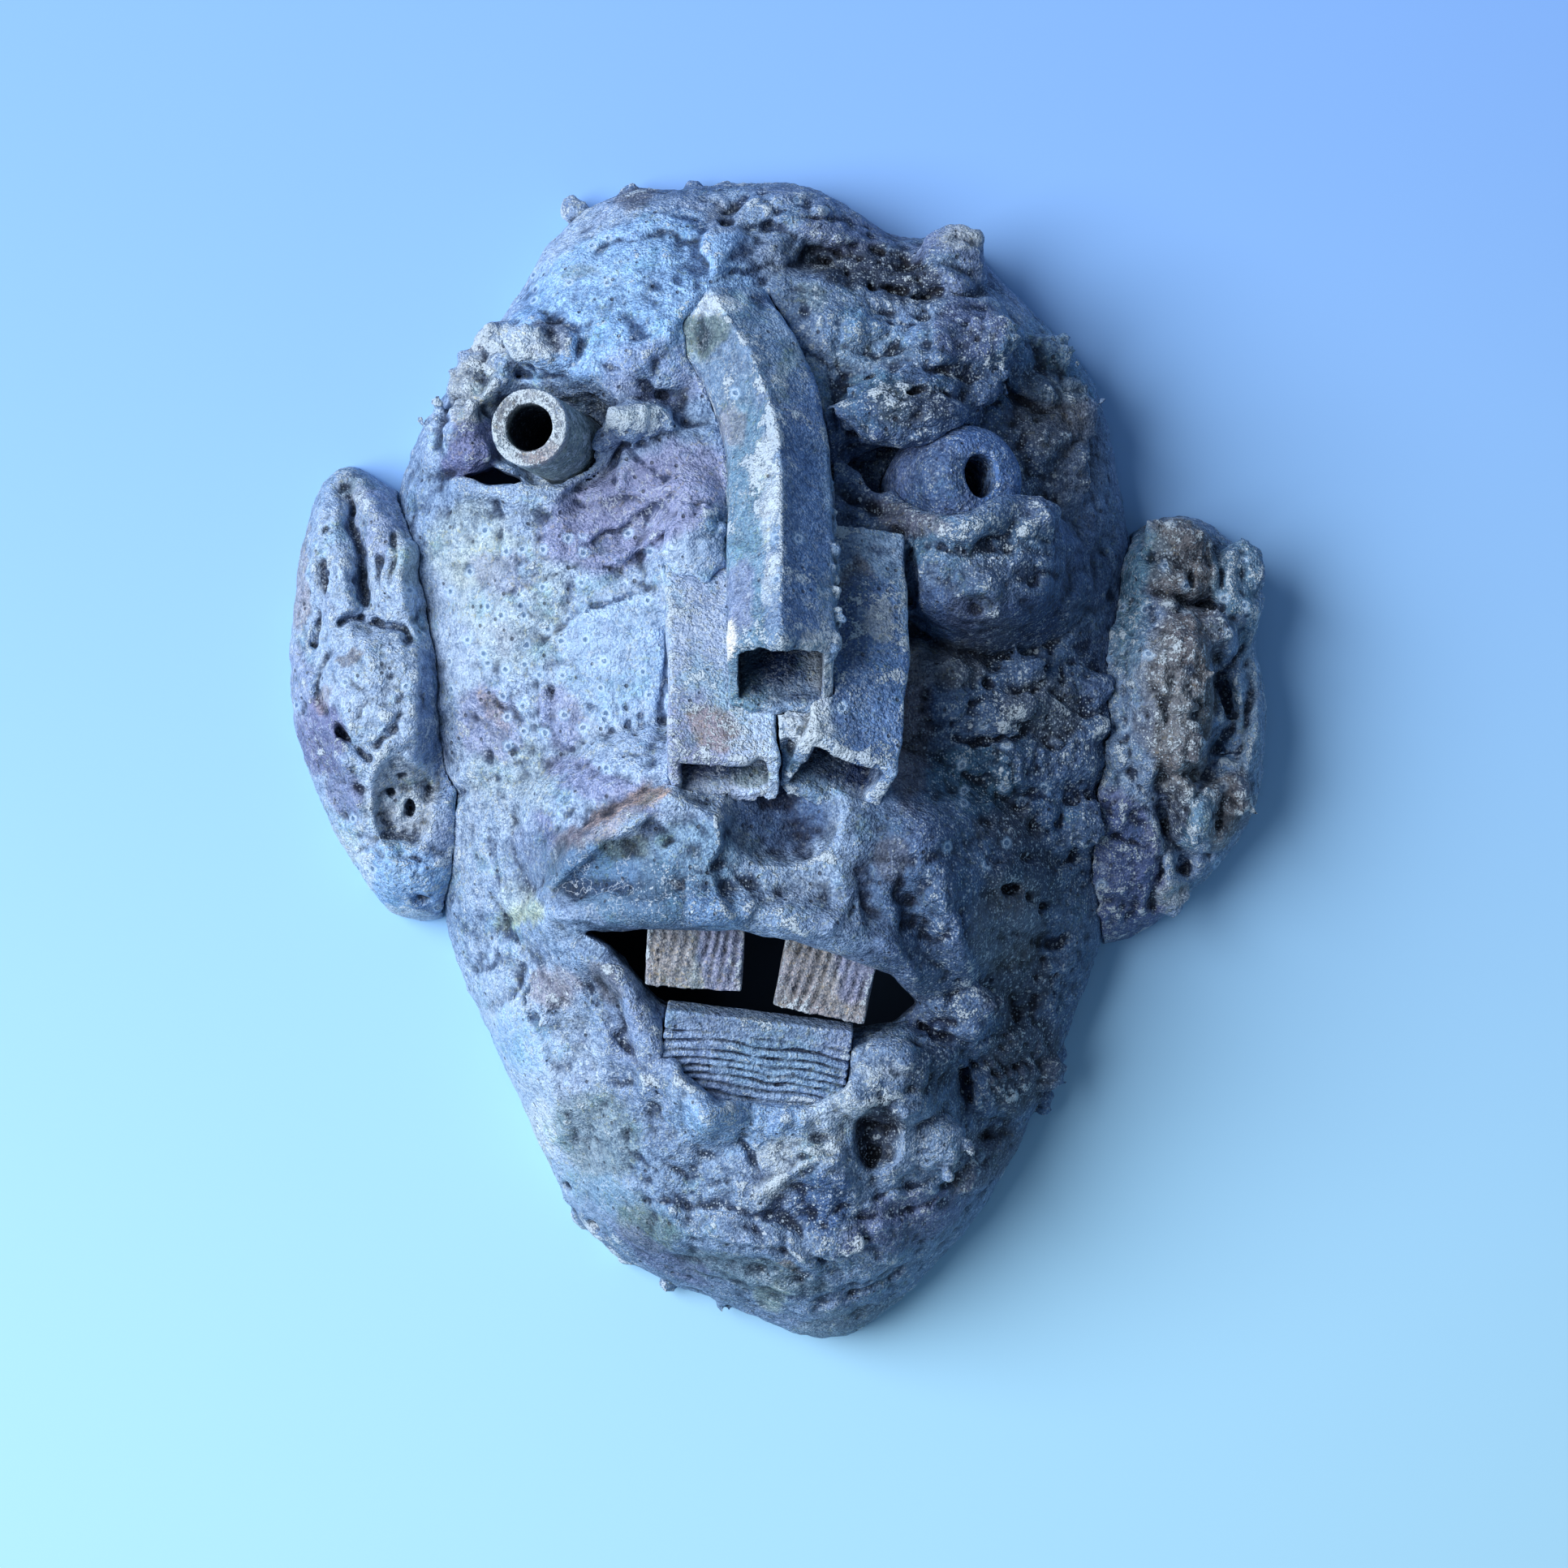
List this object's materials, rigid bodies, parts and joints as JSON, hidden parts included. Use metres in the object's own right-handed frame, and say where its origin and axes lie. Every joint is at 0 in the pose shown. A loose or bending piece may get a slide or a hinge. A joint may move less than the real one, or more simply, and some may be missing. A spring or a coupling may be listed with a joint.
{
  "type": "ceramic wall mask",
  "caption": "Hand-built hollow stoneware wall mask of a grotesque face, with a nose of clay tubes, a tube and a cone for eyes, slab ears and an open toothed mouth.",
  "frame": {"origin": "centre of the bounding box at the flat back rim, on which the mask lies face up", "axes": "+X to the right of someone looking at the face, +Y from the chin to the crown, +Z out of the face"},
  "size_m": [0.322, 0.3815, 0.1448],
  "materials": {
    "fired_shell": "rough salt-crusted stoneware",
    "ear_clay": "rough salt-crusted stoneware",
    "nose_clay": "rough, white crust on the edges",
    "pale_tube": "pale and rough",
    "ribbed_clay": "unglazed, ribbed",
    "layered_clay": "rough, in thin layers"
  },
  "bodies": {
    "root": {"face_shell": "fired_shell", "left_ear": "ear_clay", "right_ear": "ear_clay", "nose_bridge_tube": "nose_clay", "left_nostril_tube": "nose_clay", "right_nostril_tube": "nose_clay", "left_eye_tube": "pale_tube", "right_eye_cone": "fired_shell", "left_upper_tooth": "ribbed_clay", "right_upper_tooth": "ribbed_clay", "lower_teeth_block": "layered_clay"}
  },
  "joints": []
}
